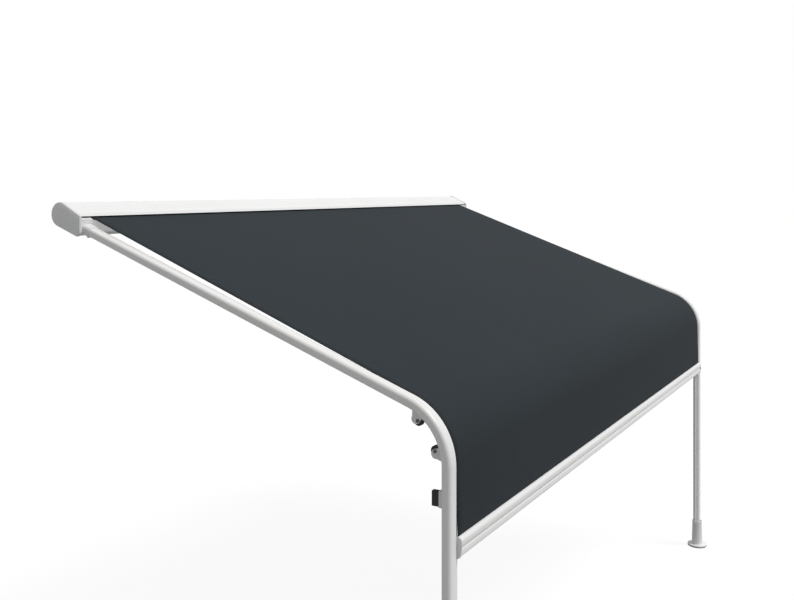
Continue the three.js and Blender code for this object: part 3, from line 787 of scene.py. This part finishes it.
def track_section():
    """A flat box with a slot in its front, from (aside, before) points of one half."""
    side = TRACK_WIDE / 2
    room = TRACK_HALF - TRACK_WALL
    half = [
        (side - TRACK_WALL, -room),
        (side - TRACK_WALL, room),
        (TRACK_SLOT / 2, room),
        (TRACK_SLOT / 2, TRACK_HALF),
        (side - TRACK_EDGE, TRACK_HALF),
        (side, TRACK_HALF - TRACK_EDGE),
        (side, TRACK_EDGE - TRACK_HALF),
        (side - TRACK_EDGE, -TRACK_HALF),
    ]
    whole = half + [(-aside, before) for aside, before in reversed(half)]
    bm = bmesh.new()
    chain(bm, [(TRACK_IN + aside, before - TRACK_BACK, 0) for aside, before in whole])
    close(bm)
    return bm


def track():
    return run_down(track_section(), TRACK_END_Z)


def rail_head():
    """A collar that ends on the case's rounded front, with a boss under it."""
    down = heading(SLOPE)
    wide, deep = TUBE_WIDE + 2 * HEAD_PROUD, TUBE_DEEP + 2 * HEAD_PROUD
    bm = at_rail(rounded_slab(wide, deep, TUBE_CORNER + HEAD_PROUD), -GAP)
    front = -CASE_FRONT + SHELL_INSET - GAP
    radius = BASE_R - SHELL_INSET + GAP
    for face in push(bm, bm.faces[:], down * -HEAD_REACH):
        for vert in face.verts:
            drop = min(max(0.0, BASE_CORNER.z - vert.co.z), radius)
            back = radius - math.sqrt(radius**2 - drop**2)
            vert.co += down * ((vert.co.y - front - back) / math.cos(SLOPE))
    near = [e for e in bm.edges if all((v.co - RAIL_START).dot(down) > -2 * GAP for v in e.verts)]
    soften(bm, near, HEAD_ROUND)
    half = [(0, -BOSS_HALF), (BOSS_R - BOSS_EDGE, -BOSS_HALF), (BOSS_R, BOSS_EDGE - BOSS_HALF)]
    boss = half + [(radius, -place) for radius, place in reversed(half)]
    under = RAIL_START - down * HEAD_LENGTH / 2 - outward(SLOPE) * deep / 2
    return join(bm, turned(boss, under, ACROSS, steps=32))


pair("rail", rail, WHITE)
pair("track", track, WHITE, edge=0.0004)
pair("rail_head", rail_head, WHITE_PLASTIC)


# Bend wheels and lugs


def wheel_place(angle):
    return BEND_LEFT + outward(angle) * (BEND_R - WHEEL_INSET)


def bend_wheel(angle):
    """A wheel with a sunk web on each side and a groove round it."""
    face = -WHEEL_WIDE / 2
    web = face + WEB_DEEP
    half = [
        (WHEEL_BORE, face),
        (HUB_R, face),
        (HUB_R + 0.0005, web),
        (WEB_R, web),
        (WEB_R + 0.001, face),
        (WHEEL_R - WHEEL_EDGE, face),
        (WHEEL_R, face + WHEEL_EDGE),
        (WHEEL_R, face * 0.55),
        (WHEEL_R - WHEEL_GROOVE + 0.0006, -0.0012),
        (WHEEL_R - WHEEL_GROOVE, 0),
    ]
    profile = half + [(radius, -place) for radius, place in reversed(half[:-1])] + half[:1]
    return turned(profile, wheel_place(angle), ACROSS, steps=56)


def fork_foot(angle):
    """The fork stands a little further from the bend's middle than its wheel."""
    return angle + math.copysign(FORK_SHIFT, angle - BEND_HALF)


def fork_span(angle):
    """The angles that the fork's base covers on the tube; it flares away from the bend's middle."""
    low, high = fork_foot(angle) - FORK_HALF, fork_foot(angle) + FORK_HALF
    return (low - FORK_FLARE, high) if angle < BEND_HALF else (low, high + FORK_FLARE)


def fork_base(low, high):
    return Pen(BEND + outward(low) * FORK_BASE_R).arc(BEND, high - low, steps=12)


def cheek(angle, low, high):
    """One side plate of a fork, between two distances from the rail's middle."""
    foot = fork_foot(angle)
    eye = wheel_place(foot)
    eye.x = 0
    pen = fork_base(*fork_span(angle))
    pen.line(on_circle(eye, FORK_EYE_R, foot + math.pi))
    pen.arc(eye, math.pi, steps=28)
    return pen.across(low - RAIL_X, high - RAIL_X)


def wheel_fork(angle):
    low, high = fork_span(angle)
    pen = fork_base(low, high)
    pen.line(pen.tip.co + (BEND - pen.tip.co).normalized() * FORK_BASE)
    pen.arc(BEND, low - high, steps=12)
    bm = pen.across(-RAIL_X - CHEEK_IN, -RAIL_X + CHEEK_IN)
    join(bm, cheek(angle, -CHEEK_OUT, -CHEEK_IN))
    return join(bm, cheek(angle, CHEEK_IN, CHEEK_OUT))


def wheel_pin(angle):
    """A pin with a head outside each cheek; the outer head has a socket."""
    inner = CHEEK_OUT + GAP
    outer = inner + PIN_HEAD
    profile = [
        (0, PIN_EDGE - outer),
        (PIN_SOCKET_R, PIN_EDGE - outer),
        (PIN_SOCKET_R + 0.0005, -outer),
        (PIN_HEAD_R - 0.001, -outer),
        (PIN_HEAD_R, PIN_EDGE - outer),
        (PIN_HEAD_R, -inner),
        (PIN_R, -inner),
        (PIN_R, inner),
        (PIN_HEAD_R, inner),
        (PIN_HEAD_R, outer - PIN_EDGE),
        (PIN_HEAD_R - 0.001, outer),
        (0, outer),
    ]
    return turned(profile, wheel_place(angle), ACROSS, steps=32)


def on_post(start, deep, half_wide, half_tall):
    """A rounded block behind the post, at the lug's height."""
    low = (-RAIL_X - half_wide, start, LUG_Z - half_tall)
    high = (-RAIL_X + half_wide, start + deep, LUG_Z + half_tall)
    return block(low, high, LUG_ROUND)


def lug_holder():
    return on_post(HOLDER_Y, HOLDER_DEEP, HOLDER_HALF_WIDE, HOLDER_HALF_TALL)


def lug():
    return on_post(LUG_Y, LUG_DEEP, LUG_HALF_WIDE, LUG_HALF_TALL)


for which, turn in WHEELS.items():
    pair(f"wheel_fork_{which}", lambda: wheel_fork(turn), WHITE_PLASTIC, edge=0.0005)
    pair(f"bend_wheel_{which}", lambda: bend_wheel(turn), BLACK, body=f"wheel_{which}")
    pair(f"wheel_pin_{which}", lambda: wheel_pin(turn), STEEL)
pair("lug_holder", lug_holder, WHITE_PLASTIC)
pair("lug", lug, BLACK)


# Feet


def foot():
    """A flange and a tapered sleeve that takes the post."""
    base = FLOOR_Z + PAD_TALL + GAP
    outer = FOOT_BORE + SLEEVE_WALL
    profile = [
        (0, base),
        (FLANGE_R - 0.0005, base),
        (FLANGE_R, base + 0.0006),
        (FLANGE_R, base + FLANGE_TALL - 0.0035),
        (FLANGE_R - 0.0015, base + FLANGE_TALL - 0.0008),
        (FLANGE_R - 0.0035, base + FLANGE_TALL),
        (outer + 0.0085, base + FLANGE_TALL + 0.0002),
        (outer + 0.0055, base + FLANGE_TALL + 0.0018),
        (outer + 0.0042, base + FLANGE_TALL + 0.0055),
        (outer + 0.0003, SLEEVE_TOP - 0.0015),
        (outer - 0.0009, SLEEVE_TOP),
        (FOOT_BORE, SLEEVE_TOP),
        (FOOT_BORE, base + FOOT_INSIDE),
        (0, base + FOOT_INSIDE),
    ]
    return turned(profile, (-RAIL_X, POST_Y, 0), UP, steps=72)


def foot_pad():
    top = FLOOR_Z + PAD_TALL
    profile = [
        (0, FLOOR_Z),
        (PAD_R - PAD_EDGE, FLOOR_Z),
        (PAD_R, FLOOR_Z + PAD_EDGE),
        (PAD_R, top),
        (0, top),
    ]
    return turned(profile, (-RAIL_X, POST_Y, 0), UP, steps=72)


pair("foot", foot, WHITE)
pair("foot_pad", foot_pad, RUBBER)


# Front bar


def bar_place(forward, down):
    return Vector((0, POST_Y - forward, BAR_TOP_Z - down))


def bar_run(pen, points):
    """Straight lines through (forward, down) points of the bar."""
    for forward, down in points:
        pen.line(bar_place(forward, down))
    return pen


def bar_crown(pen):
    """Over the rounded crown to the bar's front."""
    slot = HEM_FORWARD + HEM_SLOT / 2
    pen.line(bar_place(slot, 0))
    return pen.arc(bar_place(slot, BAR_FRONT - slot), math.pi / 2, steps=20)


def bar_front(pen):
    """Over the crown, in to the soft groove and down over the ridge to the underside."""
    ridge = BAR_TALL - BAR_RIDGE
    points = [
        (BAR_FRONT - 0.0003, ridge - 0.0175),
        (BAR_FRONT - 0.0013, ridge - 0.0125),
        (BAR_FRONT - 0.003, ridge - 0.0075),
        (BAR_FRONT - 0.0055, ridge - 0.003),
        (RIDGE_TOP_FRONT, ridge),
        (RIDGE_TOP_FRONT, ridge + 0.0012),
        (RIDGE_FRONT - 0.0008, ridge + 0.0028),
        (RIDGE_FRONT, ridge + 0.0055),
        (RIDGE_FRONT, BAR_TALL - 0.008),
        (RIDGE_FRONT - 0.0008, BAR_TALL - 0.0035),
        (RIDGE_FRONT - 0.0035, BAR_TALL - 0.0005),
        (RIDGE_FRONT - 0.005, BAR_TALL),
    ]
    return bar_run(bar_crown(pen), points)


def front_bar():
    slot_back, slot_front = HEM_FORWARD - HEM_SLOT / 2, HEM_FORWARD + HEM_SLOT / 2
    pen = Pen(bar_place(slot_back, HEM_SLOT_DEEP))
    pen.line(bar_place(slot_front, HEM_SLOT_DEEP))
    low = BAR_TALL + BAR_FALL
    back = [
        (BAR_BACK + BAR_LIP, low),
        (BAR_BACK, low),
        (BAR_BACK, BAR_CORNER),
        (BAR_BACK + BAR_CORNER, 0),
        (slot_back, 0),
    ]
    return bar_run(bar_front(pen), back).across(-BAR_HALF, BAR_HALF)


def bar_end():
    """A plain cap with the bar's outline, and its outer rim rounded."""
    outer = BAR_HALF + BAR_CAP
    front = [
        (BAR_FRONT, BAR_TALL - BAR_RIDGE),
        (RIDGE_FRONT, BAR_TALL),
        (BAR_BACK, BAR_TALL + BAR_FALL),
    ]
    pen = bar_run(bar_crown(Pen(bar_place(BAR_BACK, 0))), front)
    return soften_rim(pen.across(-outer, -BAR_HALF - GAP), -outer, BAR_CAP_EDGE, segments=2)


piece("front_bar", front_bar(), WHITE, ["front_bar"], "bar", edge=0.0004)
pair("bar_end", bar_end, WHITE_PLASTIC, body="bar")


# Cloth: one sheet from the roller over the bend to the bar


def cloth_tangent():
    """Where the cloth leaves the roller and lands on the bend, and the angle of both on their circles."""
    roll_r = ROLL_R + CLOTH_OFF_ROLL
    gap = BEND - ROLLER
    angle = math.atan2(gap.z, gap.y) + 2 * math.pi - math.acos((roll_r - CLOTH_BEND_R) / gap.length)
    return on_circle(ROLLER, roll_r, angle), on_circle(BEND, CLOTH_BEND_R, angle), angle


def draw_out(bm, edges, travel, steps, down, start):
    """Pulls a row of edges along in steps, and notes how far down the cloth each vertex is."""
    for step in range(steps):
        made = bmesh.ops.extrude_edge_only(bm, edges=edges)["geom"]
        verts = only(BMVert, made)
        bmesh.ops.translate(bm, verts=verts, vec=travel / steps)
        for vert in verts:
            vert[down] = start + travel.length * (step + 1) / steps
        edges = only(BMEdge, made)
    return edges


def sag(bm, down, slope_length):
    """Lets the sloping stretch hang a little in its middle."""
    for vert in bm.verts:
        if vert[down] < slope_length:
            along = math.sin(math.pi * vert[down] / slope_length)
            aside = math.cos(math.pi / 2 * vert.co.x / CLOTH_HALF)
            vert.co.z -= SAG * along * aside


def lay_flat(bm, down):
    """A UV map in metres: across the cloth, and down it from the roller."""
    metres = bm.loops.layers.uv.new("metres")
    for face in bm.faces:
        for loop in face.loops:
            loop[metres].uv = (loop.vert.co.x, loop.vert[down])


def cloth_sheet():
    """The cloth's mesh, and the width and length of the flat cloth."""
    roll_end, bend_start, angle = cloth_tangent()
    bend_turn = math.pi - angle
    slope = bend_start - roll_end
    to_drop = slope.length + CLOTH_BEND_R * bend_turn
    drop = bar_place(HEM_FORWARD, CLOTH_IN_BAR) - Vector((0, POST_Y - CLOTH_LIFT, BEND_END_Z))
    bm = bmesh.new()
    chain(bm, [roll_end - ACROSS * CLOTH_HALF, roll_end + ACROSS * CLOTH_HALF])
    bmesh.ops.subdivide_edges(bm, edges=bm.edges[:], cuts=CROSS_STEPS - 1)
    down = bm.verts.layers.float.new("down")
    edges = draw_out(bm, bm.edges[:], slope, SLOPE_STEPS, down, 0)
    edges = only(BMEdge, swing(bm, edges, BEND, bend_turn, BEND_STEPS))
    for vert in bm.verts:
        if vert.co.y < bend_start.y - TOUCH:
            turn = math.atan2(vert.co.z - BEND.z, vert.co.y - BEND.y) % (2 * math.pi) - angle
            vert[down] = slope.length + CLOTH_BEND_R * turn
    draw_out(bm, edges, drop, DROP_STEPS, down, to_drop)
    sag(bm, down, slope.length)
    lay_flat(bm, down)
    return bm, (2 * CLOTH_HALF, to_drop + drop.length)


cloth_mesh, cut = cloth_sheet()
cloth = piece("awning_cloth", cloth_mesh, CLOTH, ["cloth_canopy", "cloth_drop"], None, sharp=60)
wall = cloth.modifiers.new("thickness", "SOLIDIFY")
wall.thickness = CLOTH_THICK
wall.offset = 0
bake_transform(cloth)


# CAD pieces that keep their shape and only get a finish
KEPT = {
    WHITE: ["wall_bracket_left", "wall_bracket_middle", "wall_bracket_right"],
    ALUMINIUM: ["roller_tube"],
    STEEL: ["tube_motor", "idler_pin"],
    BLACK: ["drive_crown", "idler_plug"],
    GREY: ["hem_rod", "bar_slider_left", "bar_slider_right"],
    WOUND_CLOTH: ["cloth_roll"],
}
for material, names in KEPT.items():
    for name in names:
        node = frame["nodes"][name]
        node.data.materials.clear()
        node.data.materials.append(material)


# Studio
FLOOR_HALF = 60
FLOOR_DROP = 0.0004
FLOOR_MATT = 0.34
FLOOR_PALE = 0.9
FLOOR_GLOW = 1.04
GLOW_SHARE = 0.88
ROOM_LEVEL = 0.37
KEY_STRENGTH = 2.35
KEY_SPREAD = math.radians(24)
KEY_HEADING = Vector((-0.08, 0.33, -0.523))
EYE = Vector((-4.957, -3.714, 0.122))
EYE_HEADING = Vector((0.8584, 0.5129, 0))
SENSOR_WIDE = 36
LENS_LENGTH = 41.03
LENS_SHIFT = -0.1398
SIGHT = 200


def seen(sheet):
    """1 for rays that should find the pale backdrop: from the camera, a mirror or glass."""
    rays = ("Is Camera Ray", "Is Glossy Ray", "Is Transmission Ray")
    first, second, third = (sheet.node("ShaderNodeLightPath", None, None, ray) for ray in rays)
    return sheet.maths("MINIMUM", first + second + third, 1.0)


def studio_floor():
    """A floor that shows nearly white with a soft shadow, and lights the object like a grey one."""
    bm = bmesh.new()
    bmesh.ops.create_grid(bm, x_segments=1, y_segments=1, size=FLOOR_HALF)
    bmesh.ops.translate(bm, vec=(0, 0, FLOOR_Z - FLOOR_DROP), verts=bm.verts)
    floor = show("studio_floor", finished_mesh("studio_floor", bm))
    material = bpy.data.materials.new("studio_floor")
    sheet = Sheet(material)
    matt = sheet.node("ShaderNodeBsdfDiffuse", None, {"Color": grey(FLOOR_MATT)})
    pale = sheet.node("ShaderNodeBsdfDiffuse", None, {"Color": grey(FLOOR_PALE)})
    glow = sheet.node("ShaderNodeEmission", None, {"Color": grey(1.0), "Strength": FLOOR_GLOW})
    shown = sheet.node("ShaderNodeMixShader", None, {0: GLOW_SHARE, 1: pale, 2: glow})
    both = sheet.node("ShaderNodeMixShader", None, {0: seen(sheet), 1: matt, 2: shown})
    sheet.node("ShaderNodeOutputMaterial", None, {"Surface": both})
    floor.data.materials.append(material)


def aimed(name, data, direction):
    """A lamp or camera that looks along a direction."""
    made = show(name, data)
    made.rotation_euler = direction.to_track_quat("-Z", "Y").to_euler()
    return made


def sun(name):
    lamp = bpy.data.lights.new(name, "SUN")
    lamp.energy = KEY_STRENGTH
    lamp.angle = KEY_SPREAD
    return aimed(name, lamp, KEY_HEADING)


def linked(name, member, state):
    """A collection of one object, which a lamp takes in or leaves out."""
    group = bpy.data.collections.new(name)
    group.objects.link(member)
    group.collection_objects[0].light_linking.link_state = state
    return group


def studio_light():
    """The world and the key; a twin of the key lights the tray as if the cloth let it pass."""
    world = bpy.data.worlds.new("studio")
    bpy.context.scene.world = world
    sheet = Sheet(world)
    colour = sheet.blend(seen(sheet), grey(ROOM_LEVEL), grey(1.0))
    room = sheet.node("ShaderNodeBackground", None, {"Color": colour})
    sheet.node("ShaderNodeOutputWorld", None, {"Surface": room})
    key = sun("key")
    key.light_linking.receiver_collection = linked("key_leaves_out", tray, "EXCLUDE")
    under = sun("key_on_tray")
    under.light_linking.receiver_collection = linked("key_reaches", tray, "INCLUDE")
    under.light_linking.blocker_collection = linked("key_passes", cloth, "EXCLUDE")


def camera():
    lens = bpy.data.cameras.new("camera")
    lens.sensor_fit = "HORIZONTAL"
    lens.sensor_width = SENSOR_WIDE
    lens.lens = LENS_LENGTH
    lens.shift_y = LENS_SHIFT
    lens.clip_end = SIGHT
    made = aimed("camera", lens, EYE_HEADING)
    made.location = EYE
    bpy.context.scene.camera = made


studio_floor()
studio_light()
camera()
bpy.context.scene.view_settings.view_transform = "Standard"
